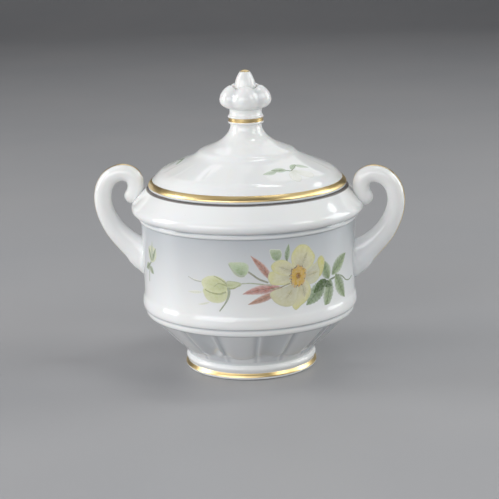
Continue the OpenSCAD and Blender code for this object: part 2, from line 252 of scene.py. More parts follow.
class Nodes:
    """Short calls for building a material's node tree."""

    def __init__(self, name):
        self.mat = bpy.data.materials.new(name)
        self.mat.use_nodes = True
        self.tree = self.mat.node_tree
        self.shader = self.tree.nodes["Principled BSDF"]

    def add(self, kind, **values):
        node = self.tree.nodes.new(kind)
        for key, value in values.items():
            setattr(node, key, value)
        return node

    def feed(self, slots, *values):
        """Puts a number or colour on each slot, or links another node's output to it."""
        for slot, value in zip(slots, values):
            if isinstance(value, bpy.types.NodeSocket):
                self.tree.links.new(value, slot)
            else:
                slot.default_value = value

    def set(self, **values):
        """Feeds the shader's own slots."""
        for key, value in values.items():
            self.feed([self.shader.inputs[key.replace("_", " ")]], value)

    def attribute(self, name, output="Fac"):
        return self.add("ShaderNodeAttribute", attribute_name=name).outputs[output]

    def noise(self, scale, detail=2.0, rough=0.5, vector=None):
        """Noise from 0 to 1; the scale is per metre when no vector is given."""
        node = self.add("ShaderNodeTexNoise")
        if vector is None:
            vector = self.add("ShaderNodeTexCoord").outputs["Object"]
        keys = ("Vector", "Scale", "Detail", "Roughness")
        self.feed([node.inputs[key] for key in keys], vector, scale, detail, rough)
        return node.outputs["Fac"]

    def stretch(self, vector, scale):
        node = self.add("ShaderNodeMapping")
        self.feed([node.inputs["Vector"], node.inputs["Scale"]], vector, scale)
        return node.outputs["Vector"]

    def span(self, value, lo, hi, to_lo=0.0, to_hi=1.0):
        """Maps the range lo to hi onto another, clamped."""
        node = self.add("ShaderNodeMapRange")
        keys = ("Value", "From Min", "From Max", "To Min", "To Max")
        self.feed([node.inputs[key] for key in keys], value, lo, hi, to_lo, to_hi)
        return node.outputs["Result"]

    def math(self, operation, *values):
        node = self.add("ShaderNodeMath", operation=operation)
        self.feed(node.inputs, *values)
        return node.outputs["Value"]

    def mix(self, factor, a, b, blend="MIX"):
        """Mixes two colours, whose slots are inputs 6 and 7 and output 2."""
        node = self.add("ShaderNodeMix", data_type="RGBA", blend_type=blend)
        self.feed([node.inputs[i] for i in (0, 6, 7)], factor, a, b)
        return node.outputs[2]

    def bump(self, height, strength, distance, *under):
        """Bump of a height, in metres, over another bump if one is given."""
        node = self.add("ShaderNodeBump")
        keys = ("Height", "Strength", "Distance", "Normal")
        self.feed([node.inputs[key] for key in keys], height, strength, distance, *under)
        return node.outputs["Normal"]


# The third colour on the next line is the grey of painted shade in grooves, creases, gaps and over the fluted
# slope, partly pooled glaze.
GLAZE, GLAZE_WARM, GLAZE_POOL_SHADE = srgb("eef0f1"), srgb("f0eee7"), srgb("acb2b8")
# The first colour on the next line is the dark of the painted shadow in the gap under the lid's edge.
GAP_SHADOW_INK, GLAZE_SPECK = srgb("5c504a"), srgb("aaa498")
CLAY_DARK, CLAY_PALE = srgb("cec6b8"), srgb("e4ded3")
GOLD_DEEP, GOLD_PALE, GOLD_WORN = srgb("e0c286"), srgb("fae2aa"), srgb("e8ded0")
VEIN_INK, STREAK_INK = srgb("607850"), srgb("c4be92")


def glaze_colour(n, pool_shade=True):
    """White glaze: faint warm and cool drift, greyer with painted shade, partly pooled glaze, where the
    pooling attribute says so.
    """
    drift = n.span(n.noise(28, 3), 0.35, 0.7, 0.0, 0.45)
    colour = n.mix(drift, GLAZE, GLAZE_WARM)
    if pool_shade:
        # Painted shade: greys the glaze by the pooling attribute.
        shade_amount = n.math("MULTIPLY", n.attribute("PoolShade"), 0.8)
        colour = n.mix(shade_amount, colour, GLAZE_POOL_SHADE)
    return colour


def glaze_surface(n):
    """The wet, very slightly uneven surface of fired glaze."""
    fine = n.noise(420, 2, 0.5)
    waves = n.bump(n.noise(90, 2, 0.4), 0.10, 0.0006, n.bump(fine, 0.02, 0.0004))
    n.set(IOR=1.52, Roughness=n.span(fine, 0.3, 0.7, 0.05, 0.1), Normal=waves)


def make_porcelain():
    """Glazed porcelain with faint specks, greyed by painted shade and darkened by a painted gap shadow where
    its attributes say so. A piece without those attributes has none of them.
    """
    n = Nodes("glazed_porcelain")
    glaze_surface(n)
    speck = n.math("MULTIPLY", n.span(n.noise(620, 1, 0.3), 0.82, 0.86), 0.2)
    colour = n.mix(speck, glaze_colour(n), GLAZE_SPECK)
    # Painted shadow: the gap attribute darkens the glaze along the lid's edge.
    n.set(Base_Color=n.mix(n.attribute("Seam"), colour, GAP_SHADOW_INK),
          Subsurface_Weight=0.06, Subsurface_Scale=0.004)
    return n.mat


def make_foot_porcelain():
    """Glazed porcelain that is bare gritty clay where Bare says so."""
    n = Nodes("foot_porcelain")
    glaze_surface(n)
    bare = n.attribute("Bare")
    clay = n.mix(n.span(n.noise(1500, 4, 0.7), 0.35, 0.7), CLAY_DARK, CLAY_PALE)
    n.set(Base_Color=n.mix(bare, glaze_colour(n), clay), Roughness=n.span(bare, 0, 1, 0.07, 0.77))
    return n.mat


def make_gold(name, wear_lo, wear_hi):
    """Fired gold, brushed round the pot: whole where the noise is under wear_lo and so thin
    over wear_hi that the glaze shows through."""
    n = Nodes(name)
    where = n.add("ShaderNodeTexCoord").outputs["Object"]
    strokes = n.noise(60, 4, 0.6, n.stretch(where, (1.0, 1.0, 14.0)))
    tone = n.mix(n.span(strokes, 0.3, 0.7), GOLD_DEEP, GOLD_PALE)
    worn = n.span(n.noise(520, 3, 0.65), wear_lo, wear_hi)
    n.set(Base_Color=n.mix(worn, tone, GOLD_WORN), Metallic=n.span(worn, 0, 1, 1, 0.15),
          Roughness=n.span(n.noise(160, 3, 0.6), 0.3, 0.7, 0.30, 0.37), Normal=n.bump(strokes, 0.01, 0.0001))
    return n.mat


def make_ink(name, kind):
    """Printed colour under the glaze: Ink is the colour, Body how dense it is, Along and
    Across the place on the petal or leaf, and Seed differs from patch to patch."""
    n = Nodes(name)
    glaze_surface(n)
    ink, body = n.attribute("Ink", "Color"), n.attribute("Body")
    along, across = n.attribute("Along"), n.attribute("Across")
    if kind == "leaf":
        side = n.math("ABSOLUTE", across)
        rib = n.span(side, 0.04, 0.16, 1.0, 0.0)
        phase = n.math("SUBTRACT", n.math("MULTIPLY", along, 38.0), n.math("MULTIPLY", side, 8.0))
        veins = n.span(n.math("SINE", phase), 0.45, 1.0, 0.0, 0.75)
        veins = n.math("MULTIPLY", veins, n.span(side, 0.9, 0.6))
        marks = n.math("MAXIMUM", rib, veins)
        ink = n.mix(n.math("MULTIPLY", marks, 0.8), ink, n.mix(0.6, ink, VEIN_INK, "MULTIPLY"))
    else:
        place = n.add("ShaderNodeCombineXYZ")
        n.feed(place.inputs, across, along, n.attribute("Seed"))
        streak = n.noise(1.0, 3, 0.6, n.stretch(place.outputs["Vector"], (9.0, 1.6, 5.0)))
        ink = n.mix(n.span(streak, 0.42, 0.72, 0.0, 0.34), ink, STREAK_INK)
    dense = n.math("MULTIPLY", body, n.span(n.noise(700, 3, 0.6), 0.25, 0.7, 0.80, 1.08))
    dense = n.math("MULTIPLY", dense, n.span(n.noise(2600, 2, 0.6), 0.3, 0.7, 0.90, 1.04))
    n.set(Base_Color=n.mix(n.math("MINIMUM", dense, 1.0), glaze_colour(n, False), ink))
    return n.mat


porcelain = make_porcelain()
foot_porcelain = make_foot_porcelain()
gold_band = make_gold("gold_band", 0.74, 0.86)
gold_line = make_gold("gold_line", 0.50, 0.66)
ink_leaf = make_ink("ink_leaf", "leaf")
ink_petal = make_ink("ink_petal", "petal")


# ---- bowl

BOWL_SIDES, LID_SIDES, RING_SIDES, SMALL_SIDES = 416, 240, 192, 96
GILT = 0.06                         # thickness of the gold
PANELS, BROAD_SHARE = 8, 0.6        # each eighth is a broad panel and a flute
LID_TURN = 8.0                      # how far the lid sits turned in the mouth
PANEL_END, END_SOFT = 4.4, 1.2      # length of the lower ends, and how softly they begin
GROUND_FADE = (-2.4, 0.6)           # where the ground has begun to sink and has sunk
VALLEY = 0.86                       # where the valley is, across a panel
LID_SLOPE_LOW, LID_SLOPE_HIGH, LID_RELIEF_Z = (43.6, 99.2), (29, 105.4), 97.0
# Depths of a panel's valleys, its edges, a flute and the ground.
BOWL_RELIEF = {"swell": 0.95, "arris": 0.1, "hollow": 1.2, "below": 0.85}
LID_RELIEF = {"swell": 0.38, "arris": 0.02, "hollow": 0.45, "below": 0.3}


def up_slope(r, z, low, high):
    """Distance up a slope from its low end, its direction, and its length."""
    d = np.subtract(high, low)
    length = np.linalg.norm(d)
    d = d / length
    return (r - low[0]) * d[0] + (z - low[1]) * d[1], d, length


def across_panel(angle, turn):
    """Place across the panel or flute at that angle, 0 at its middle and 1 at its edge, and
    whether it is a broad panel. One of those is centred on -Y plus the turn."""
    eighths = (angle + pi / 2 - radians(turn)) / (2 * pi) * PANELS
    t = (eighths + BROAD_SHARE / 2) % 1.0
    broad = t < BROAD_SHARE
    side = np.where(broad, t / BROAD_SHARE, (t - BROAD_SHARE) / (1 - BROAD_SHARE)) * 2 - 1
    return np.abs(side), broad


def relief(side, broad, along, size):
    """Depth under the plain slope: rounded panels with a valley along each side, and hollow
    flutes, all with U-shaped lower ends standing on a lower ground."""
    rise = size["swell"] * np.minimum(side / VALLEY, 1) ** 3
    panel = rise + (size["arris"] - size["swell"]) * smoothstep(side, VALLEY, 1)
    flute = size["arris"] + size["hollow"] * (1 - side ** 2)
    end = PANEL_END * (1 - np.sqrt(np.clip(1 - side ** 2, 0, 1)))
    inside = smoothstep(along, end, end + END_SOFT)
    ground = size["below"] * smoothstep(along, *GROUND_FADE)
    return np.where(broad, panel, flute) * inside + ground * (1 - inside)


def bowl_relief(r, z, angle):
    """Presses the panels and flutes into the sloping lower bowl."""
    if z[0] < FOOT_H + 0.5 or z[0] > FLUTE_HIGH[1] + 0.01 or r[0] < 30:
        return r, z
    s, d, _ = up_slope(r, z, FLUTE_LOW, FLUTE_HIGH)
    side, broad = across_panel(angle, 0.0)
    deep = relief(side, broad, s, BOWL_RELIEF)
    return r - deep * d[1], z + deep * d[0]


def lid_relief(r, z, angle):
    """The same, much shallower, on the slope of the lid, fading out toward the neck."""
    s, d, length = up_slope(r, z, LID_SLOPE_LOW, LID_SLOPE_HIGH)
    side, broad = across_panel(angle, LID_TURN)
    on_slope = (z > LID_RELIEF_Z) & (r > 20)
    deep = relief(side, broad, s, LID_RELIEF) * np.clip(1 - s / length, 0, 1) * on_slope
    return r + deep * d[1], z + deep * d[0]


# Grooves and beads greyed with painted shade, partly pooled glaze.
SHADED_GROOVES = ((75.0, 0.8), (77.9, 0.7), (31.1, 0.5), (27.4, 0.6))   # height and width


def near(z, height, width):
    """1 at that height, falling off over the width."""
    return np.exp(-((z - height) / width) ** 2)


def bowl_shade_and_pool(r, z, angle):
    """How much painted shade to put on, partly glaze that has pooled: 1 in the grooves and creases,
    less in the painted shadow line on the rim, over the fluted slope and over the foot, 0 on open surfaces."""
    out = np.zeros_like(r)
    for height, width in SHADED_GROOVES:
        out = np.maximum(out, near(z, height, width) * (r > 50))
    out = np.maximum(out, 0.45 * near(z, 8.3, 1.6) * (r < 36))
    # Painted shadow line on the rim, just outside the lid's edge.
    out = np.maximum(out, 0.9 * smoothstep(z, 90.3, 90.8) * (r > LID_R))
    side, broad = across_panel(angle, 0.0)
    slope = (FLUTE_HIGH[0] - FLUTE_LOW[0]) / (FLUTE_HIGH[1] - FLUTE_LOW[1])
    outside = (z > 9) & (z < 27.3) & (r > FLUTE_LOW[0] + (z - FLUTE_LOW[1]) * slope - 2)
    valley = 0.75 * smoothstep(side, 0.6, 0.88) * (1 - smoothstep(side, 0.9, 1))
    flute = 0.55 * (1 - smoothstep(side, 0.7, 1))
    # Painted shade: a grey base over the whole fluted slope, darker in the valleys and flutes.
    return np.maximum(out, (0.36 + 0.64 * np.where(broad, valley, flute)) * outside)


def rim_gap_shadow(r, z, angle):
    """The painted shadow of the gap under the lid: a dark line on the bowl's rim, just outside the edge of
    the lid.
    """
    return 0.85 * smoothstep(z, 90.42, 90.75) * (r > LID_R)


def fine_rows(line, low, high, step):
    """Adds points to an outline's outer side between two heights."""
    out = [line[0]]
    for a, b in zip(line, line[1:]):
        inside = min(a[1], b[1]) > low and max(a[1], b[1]) < high and min(a[0], b[0]) > 28
        out.extend(split([a, b], step)[1:] if inside else [b])
    return out


bowl = revolve("bowl_glazed", fine_rows(bowl_line, 8, 27.3, 0.55), BOWL_SIDES, [porcelain], "bowl", True,
               bowl_relief, {"PoolShade": bowl_shade_and_pool, "Seam": rim_gap_shadow}, sharp=50)
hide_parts("bowl_body")

# Painted shade, partly pooled glaze, greys the groove over the foot's base, and the face that it stands on is
# wiped clean.
foot = revolve("foot_ring_glazed", split(foot_line, 1.5), RING_SIDES, [foot_porcelain], "bowl", True, None,
               {"PoolShade": lambda r, z, angle: 0.5 * near(z, 3.7, 0.6),
                "Bare": lambda r, z, angle: (z < 0.12) & (r > 28.6) & (r < 32)}, sharp=50)
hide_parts("foot_ring")

foot_gold = revolve("foot_gold", layer_line(foot_gilt[::-1], GILT), RING_SIDES, [gold_band], "bowl", True)
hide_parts("gilt_foot_band")


# ---- handles

# Middle line of a handle from its root to its curled end: x, z and half thickness.
HANDLE_LINE = [
    (51.2, 54.6, 9.7), (54.3, 56, 8.5), (57.7, 58.7, 7), (61.2, 61.6, 6.1), (65.4, 65.7, 5.55),
    (69, 70.4, 5.1), (72.2, 77, 4.6), (73.45, 84.2, 4.35), (72, 90.7, 4.3), (68.2, 95.2, 4.3),
    (62.8, 97, 4.35), (58.2, 95.5, 4.35), (56.35, 91.7, 4.3), (56.8, 88.1, 4.2), (58.2, 85.4, 4.15)]
SPANS = len(HANDLE_LINE) - 1
HANDLE_HALF, ROOT_HALF, ROOT_SPANS = 4.3, 5.6, 4     # half width, wider over the first spans
WALL_X, FILLET, FILLET_REACH = 53.0, 1.0, 0.9        # how the root flares into the wall


def through(points, s):
    """Smooth curve through the points at position s, counted in spans."""
    k = min(int(s), len(points) - 2)
    t = s - k
    a, b, c, d = (np.array(points[max(0, min(len(points) - 1, i))]) for i in (k - 1, k, k + 1, k + 2))
    return 0.5 * (2 * b + (c - a) * t + (2 * a - 5 * b + 4 * c - d) * t * t
                  + (3 * b - a - 3 * c + d) * t ** 3)


def heading(s):
    """Direction of the handle's middle line, turned square to the wall at its root."""
    v = through(HANDLE_LINE, min(SPANS, s + 0.02))[:2] - through(HANDLE_LINE, max(0, s - 0.02))[:2]
    v = v / np.linalg.norm(v)
    square = max(0.0, 1 - s / 1.5)
    w = (1 - square) * v + square * np.array([1.0, 0.0])
    return w / np.linalg.norm(w)


def half_width(s):
    return HANDLE_HALF + (ROOT_HALF - HANDLE_HALF) * max(0.0, 1 - s / ROOT_SPANS) ** 2


def tube_ring(p, v, b, along, grow, angles):
    """Points round the handle at p, heading along v, with half width b; the spine is at 0."""
    across = (p[2] + grow) * np.cos(angles)
    return np.stack([p[0] + v[0] * along + v[1] * across, (b + grow) * np.sin(angles),
                     p[1] + v[1] * along - v[0] * across], 1)


def rings_mesh(rings):
    """A closed skin over rings of equal length, flat at both ends."""
    n = len(rings[0])
    verts = np.concatenate(rings)
    faces = [(i * n + j, i * n + (j + 1) % n, (i + 1) * n + (j + 1) % n, (i + 1) * n + j)
             for i in range(len(rings) - 1) for j in range(n)]
    faces.append(tuple(range(n))[::-1])
    faces.append(tuple((len(rings) - 1) * n + j for j in range(n)))
    return verts, faces


def handle_rings(sides=40, steps=10):
    """Rings of one handle, with a fillet at the wall and a rounded end."""
    angles = np.linspace(0, 2 * pi, sides, endpoint=False)
    rings = []
    for i in range(SPANS * steps + 1):
        s = i / steps
        p = through(HANDLE_LINE, s)
        flare = FILLET * exp(-max(0.0, p[0] - WALL_X) / FILLET_REACH) if s < 2 else 0.0
        rings.append(tube_ring(p, heading(s), half_width(s), 0, flare, angles))
    end = np.array(HANDLE_LINE[-1])
    for i in range(1, 11):
        a = radians(86 * i / 10)
        p = np.array([end[0], end[1], end[2] * cos(a)])
        rings.append(tube_ring(p, heading(SPANS), HANDLE_HALF * cos(a), end[2] * sin(a), 0, angles))
    return rings


def turned(verts, degrees):
    """The points turned round Z."""
    a = radians(degrees)
    m = np.array([[cos(a), -sin(a), 0], [sin(a), cos(a), 0], [0, 0, 1]])
    return verts @ m.T


def gilt_rings(low=2.0, high=11.6, steps=8, half=20.0, under=-0.02, over=0.05):
    """A gold line on the spine of the handle, half degrees wide to each side, tapering at its
    ends and reaching from under to over the glaze."""
    rings = []
    for i in range(int((high - low) * steps) + 1):
        s = low + i / steps
        p = through(HANDLE_LINE, s)
        t = (s - low) / (high - low)
        w = radians(half) * min(1.0, 6 * min(t, 1 - t) + 0.15)
        inner = tube_ring(p, heading(s), half_width(s), 0, under, np.linspace(-w, w, 5))
        outer = tube_ring(p, heading(s), half_width(s), 0, over, np.linspace(w, -w, 5))
        rings.append(np.concatenate([inner, outer]))
    return rings


for side, degrees in (("right", 0), ("left", 180)):
    verts, faces = rings_mesh(handle_rings())
    handle = put_mesh("handle_%s_glazed" % side, turned(verts, degrees), faces, [porcelain], "bowl")
    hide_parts("handle_" + side)
    verts, faces = rings_mesh(gilt_rings())
    line = put_mesh("handle_%s_gold_line" % side, turned(verts, degrees), faces, [gold_line], "bowl")
    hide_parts("gilt_handle_" + side)


# ---- lid and finial

def lid_shade_and_pool(r, z, angle):
    """Painted shade, partly pooled glaze, between the neck's beads, and a painted shadow line under the lid's
    rim.
    """
    return np.maximum(0.35 * near(z, 124.2, 1.0) * (r < 10), 0.9 * near(z, RIM_Z, 0.5))


def lid_shift(r, z, angle):
    """Relief on the slope of the lid's outside, and none elsewhere."""
    if z[0] < LID_RELIEF_Z or r[0] < LID_SLOPE_HIGH[0] - 0.1 or (r[0], z[0]) in lid_inner_points:
        return r, z
    return lid_relief(r, z, angle)


lid_inner_points = set(lid_inside)
lid = revolve("lid_glazed", fine_rows(lid_line, 97, 105.5, 0.7), LID_SIDES, [porcelain], "lid", False,
              lid_shift, {"PoolShade": lid_shade_and_pool}, sharp=50, start=LID_TURN)
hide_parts("lid_shell")

rim_gold = revolve("lid_rim_gold", layer_line(lid_gilt, GILT), RING_SIDES, [gold_band], "lid", True)
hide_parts("gilt_lid_rim")

neck_gold = revolve("neck_gold", layer_line(neck_gilt, GILT), SMALL_SIDES, [gold_band], "lid", True)
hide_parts("gilt_neck_ring")

PETALS = 5
FOLD_SOFT = 0.12            # rounds the folds between the petals
TIP_R, TIP_Z = 2.5, 147.3   # where the bud's gold begins
# The crown from the neck over its lip into the cup, through a petal and through a fold.
petal_line = chain(
    bez((8.3, CROWN_Z), (10, 129.8), (12.9, 131), (13, 134), 16),
    bez((13, 134), (13.1, 136.9), (10.6, 139.8), (8, 140.9), 18),
    bez((8, 140.9), (7.3, 141.1), (6.7, 140.5), (6.4, 139.6), 6),
    bez((6.4, 139.6), (6.1, 138.8), (5.9, 137.8), (5.85, BUD_SEAT), 4))
fold_line = chain(
    bez((8.3, CROWN_Z), (9.6, 129.8), (11.4, 130.9), (11.5, 133.4), 16),
    bez((11.5, 133.4), (11.6, 135.7), (9.8, 138.4), (7.9, 139.4), 18),
    bez((7.9, 139.4), (7.3, 139.6), (6.8, 139.3), (6.5, 138.7), 6),
    bez((6.5, 138.7), (6.2, 138.2), (5.9, 137.4), (5.85, BUD_SEAT), 4))


def petal_share(angle):
    """1 at the middle of a petal, 0 in a fold; the fold is slightly rounded."""
    c = np.cos(PETALS * (angle + pi / 2 - radians(LID_TURN)) / 2)
    low, high = sqrt(FOLD_SOFT), sqrt(1 + FOLD_SOFT)
    return (np.sqrt(c * c + FOLD_SOFT) - low) / (high - low)


def crown_mesh(sides=28 * PETALS):
    """The crown, between its two outlines."""
    angles = np.linspace(0, 2 * pi, sides, endpoint=False)
    f = petal_share(angles)
    rings = []
    for p, q in zip(petal_line, fold_line):
        r, z = (f * a + (1 - f) * b for a, b in zip(p, q))
        rings.append(np.stack([r * np.cos(angles), r * np.sin(angles), z], 1))
    return rings_mesh(rings)


verts, faces = crown_mesh()
# Painted shade, partly pooled glaze, in the folds between the crown's petals.
pool_shade = 0.5 * (1 - petal_share(np.arctan2(verts[:, 1], verts[:, 0]))) ** 2
crown = put_mesh("crown_glazed", verts, faces, [porcelain], "lid", floats={"PoolShade": pool_shade}, sharp=60)
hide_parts("finial_crown")

bud_side = chain(
    bez((4.4, BUD_SEAT), (4.9, 137.4), (5.2, 138.4), (5.2, 139.6), 10),
    bez((5.2, 139.6), (5.2, 142.2), (3.9, 145.4), (TIP_R, TIP_Z), 18))
bud_tip = bez((TIP_R, TIP_Z), (1.9, 147.85), (1, 148.05), (0, 148.05), 10)
bud = revolve("bud_glazed", chain([(0, BUD_SEAT)], bud_side, bud_tip), SMALL_SIDES, [porcelain], "lid", False)
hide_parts("finial_bud")

tip_outer = [(r + 0.05 * r / TIP_R, z + 0.07 * (1 - r / TIP_R) + 0.01) for r, z in bud_tip]
tip_gold = revolve("bud_tip_gold", chain(bud_tip[::-1], tip_outer), SMALL_SIDES, [gold_line], "lid", False)
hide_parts("gilt_bud_tip")


# ---- painted flowers

WALL_R, WALL_LOW, WALL_HIGH = 53.0, (52.6, 41.0), (53.2, 74.8)
SLOPE_R = 36.0                      # radius of the sprigs' middle on the lid
LAYER, BACK_LAYER = 0.012, -6       # step between layers, and the layer of a patch's back
WALL_GAP, SLOPE_GAP = 0.02, 0.03    # height of layer 0 over the glaze
LEAF, PETAL = 0, 1                  # material slots of the painted pieces


def wall_place(turn):
    """Puts (u, z, layer) on the bowl's wall; u is the distance round from -Y toward +X."""
    flare = (WALL_HIGH[0] - WALL_LOW[0]) / (WALL_HIGH[1] - WALL_LOW[1])

    def place(u, z, layer):
        a = u / WALL_R + radians(turn)
        r = WALL_LOW[0] + max(0.0, z - WALL_LOW[1]) * flare + WALL_GAP + layer * LAYER
        return (r * sin(a), -r * cos(a), z)
    return place


def lid_place(turn):
    """Puts (u, v, layer) on the lid's slope round a middle point at that turn: u goes round,
    v up the slope toward the neck."""
    lean = atan2(LID_SLOPE_HIGH[1] - LID_SLOPE_LOW[1], LID_SLOPE_LOW[0] - LID_SLOPE_HIGH[0])
    slope_r, slope_z = zip(*sorted({p for p in lid_outside if 20 < p[0] < 46}))

    def place(u, v, layer):
        a = u / SLOPE_R + radians(turn)
        r = SLOPE_R - v * cos(lean)
        r, z = lid_relief(r, float(np.interp(r, slope_r, slope_z)), a - pi / 2)
        up = SLOPE_GAP + layer * LAYER
        r, z = float(r) + up * sin(lean), float(z) + up * cos(lean)
        return (r * sin(a), -r * cos(a), z)
    return place


def curve(points, n):
    """Smooth line through a few points, n steps in all."""
    return [tuple(through(points, i / n * (len(points) - 1))) for i in range(n + 1)]


def closed_curve(points, n):
    """Smooth closed outline through the points, n points in all."""
    ring = [points[-1]] + list(points) + list(points[:2])
    return [tuple(through(ring, 1 + i / n * len(points))) for i in range(n)]


def tint(a, b, t):
    """The colour t of the way from a to b."""
    return tuple(x + (y - x) * t for x, y in zip(a, b))


def circle(centre, rx, ry, n=16):
    """Points of an ellipse."""
    return [(centre[0] + rx * cos(2 * pi * i / n), centre[1] + ry * sin(2 * pi * i / n))
            for i in range(n)]


class Painting:
    """Gathers painted patches and lays them on one surface as closed thin pieces, a higher
    layer over a lower one."""

    def __init__(self, place):
        self.place = place
        self.verts, self.faces, self.kind = [], [], []
        self.data = {key: [] for key in ("Ink", "Body", "Along", "Across", "Seed")}

    def patch(self, pts, faces, rim, layer, kind, ink, body, along, across):
        """Adds a patch with a back and sides; ink and what follows have a value for each point."""
        start, n = len(self.verts), len(pts)
        self.verts += [self.place(u, v, height) for height in (layer, BACK_LAYER) for u, v in pts]
        new = [tuple(start + i for i in f) for f in faces]
        new += [tuple(start + n + i for i in reversed(f)) for f in faces]
        new += [(start + a, start + n + a, start + n + b, start + b) for a, b in zip(rim, rim[1:] + rim[:1])]
        self.faces += new
        self.kind += [kind] * len(new)
        seeds = [rng.random() * 8] * n
        for key, values in zip(self.data, (ink, body, along, across, seeds)):
            self.data[key] += values * 2

    def strip(self, line, width, layer, kind, colour, body=1.0, across_n=6):
        """A band along a line: half width and colour at s, 0 to 1 along it, and t, -1 to 1
        across it."""
        n = len(line) - 1
        pts, ink, dens, along, across = [], [], [], [], []
        for i, p in enumerate(line):
            a, b = line[max(0, i - 1)], line[min(n, i + 1)]
            d = dist(a, b)
            side = ((a[1] - b[1]) / d, (b[0] - a[0]) / d)
            s = i / n
            for j in range(across_n + 1):
                t = 2 * j / across_n - 1
                w = width(s, t)
                pts.append((p[0] - side[0] * t * w, p[1] - side[1] * t * w))
                ink.append(colour(s, t))
                dens.append(body(s, t) if callable(body) else body)
                along.append(s)
                across.append(t)
        m = across_n + 1
        faces = [(i * m + j, i * m + j + 1, (i + 1) * m + j + 1, (i + 1) * m + j)
                 for i in range(n) for j in range(across_n)]
        rim = list(range(m)) + [i * m + across_n for i in range(1, n + 1)]
        rim += [n * m + j for j in range(across_n - 1, -1, -1)] + [i * m for i in range(n - 1, 0, -1)]
        self.patch(pts, faces, rim, layer, kind, ink, dens, along, across)

    def leaf(self, base, tip, wide, bend, layer, dark, light, teeth=0.0, body=0.95, edge=0.55):
        """A pointed leaf: bend bows its rib, and edge is how much paler its edge is."""
        d = (tip[0] - base[0], tip[1] - base[1])
        length = hypot(*d)
        mid = (base[0] + d[0] / 2 - d[1] / length * bend, base[1] + d[1] / 2 + d[0] / length * bend)
        line = [tuple((1 - s) ** 2 * base[k] + 2 * s * (1 - s) * mid[k] + s * s * tip[k] for k in (0, 1))
                for s in [i / 26 for i in range(27)]]

        def width(s, t):
            w = wide / 2 * max(0.04, sin(pi * s ** 0.85) ** 0.85)
            return w * (1 + teeth * (2 * ((s * 9) % 1.0) - 1) * abs(t) ** 3)

        def colour(s, t):
            shade = 0.5 + 0.42 * t * (1 - s) + 0.25 * (s - 0.5)
            return tint(dark, light, min(1.0, max(0.0, shade)))
        self.strip(line, width, layer, LEAF, colour, lambda s, t: body * (1 - edge * abs(t) ** 3), 8)

    def stem(self, points, wide, end, colour, layer=1, body=0.9):
        """A line that goes from one width to another."""
        line = curve(points, 8 * (len(points) - 1))
        self.strip(line, lambda s, t: (wide + (end - wide) * s) / 2, layer, PETAL,
                   lambda s, t: colour, body, 2)

    def petal(self, outline, hub, layer, inner, middle, edge, rim_ink, body=0.95, weight=0.58,
              soft=0.7, k=72, line_w=0.3):
        """A petal from its hub out to its outline: inner, middle and edge inks with a fine
        line of rim_ink round it. The middle ink is at the share weight of the way out, and
        the density falls from body by the share soft at the outline."""
        ring = closed_curve(outline, k)
        if sum(a[0] * b[1] - b[0] * a[1] for a, b in zip(ring, ring[1:] + ring[:1])) < 0:
            ring = ring[::-1]
        # Shares of the way out; -2 and -1 are line widths inside the outline.
        rings = [0.12, 0.28, 0.45, 0.6, 0.74, 0.86, -2, -1, 1.0]
        pts, ink, dens, along, across = [hub], [inner], [body], [0.0], [0.0]
        for rho in rings:
            for i, p in enumerate(ring):
                reach = max(0.5, dist(p, hub))
                f = 1 + rho * line_w / reach if rho < 0 else rho
                pts.append((hub[0] + (p[0] - hub[0]) * f, hub[1] + (p[1] - hub[1]) * f))
                if f < weight:
                    colour = tint(inner, middle, f / weight)
                else:
                    colour = tint(middle, edge, ((f - weight) / (1 - weight)) ** 1.6)
                ink.append(tint(colour, rim_ink, 0.6) if rho in (-1, 1.0) else colour)
                dens.append(body * soft if rho == 1.0 else body * (1 + soft) / 2 if rho == -1 else body)
                along.append(f)
                across.append(sin(i / k * 2 * pi))
        faces = [(0, 1 + i, 1 + (i + 1) % k) for i in range(k)]
        for j in range(len(rings) - 1):
            a, b = 1 + j * k, 1 + (j + 1) * k
            faces += [(a + i, b + i, b + (i + 1) % k, a + (i + 1) % k) for i in range(k)]
        rim = [len(pts) - k + i for i in range(k)]
        self.patch(pts, faces, rim, layer, PETAL, ink, dens, along, across)

    def dot(self, centre, radius, layer, ink, body, k=14):
        """A round spot of k sides."""
        pts = [centre] + circle(centre, radius, radius, k)
        self.patch(pts, [(0, 1 + i, 1 + (i + 1) % k) for i in range(k)], list(range(1, k + 1)), layer, PETAL,
                   [ink] * (k + 1), [body] * (k + 1), [0.0] * (k + 1), [0.0] * (k + 1))

    def build(self, name, body):
        """One piece of all the patches, riding on a body."""
        inks = {"Ink": self.data.pop("Ink")}
        put_mesh(name, self.verts, self.faces, [ink_leaf, ink_petal], body, 30, self.data, inks, self.kind)


LEAF_DARK, LEAF_LIGHT = srgb("5e7842"), srgb("98ae74")
LEAF_DEEP = srgb("465c32")
RED_DARK, RED_LIGHT = srgb("985642"), srgb("ce9884")
BUD_LINE = srgb("a0a876")
PETAL_GREY, PETAL_CREAM, PETAL_YELLOW = srgb("bab59a"), srgb("d8d4b0"), srgb("dedb8e")
OUTLINE = srgb("b2ae7a")
ROSE = (PETAL_GREY, PETAL_CREAM, PETAL_YELLOW, OUTLINE)
STAMEN, STAMEN_ORANGE, STAMEN_DARK = srgb("dcb64c"), srgb("cca242"), srgb("684a22")


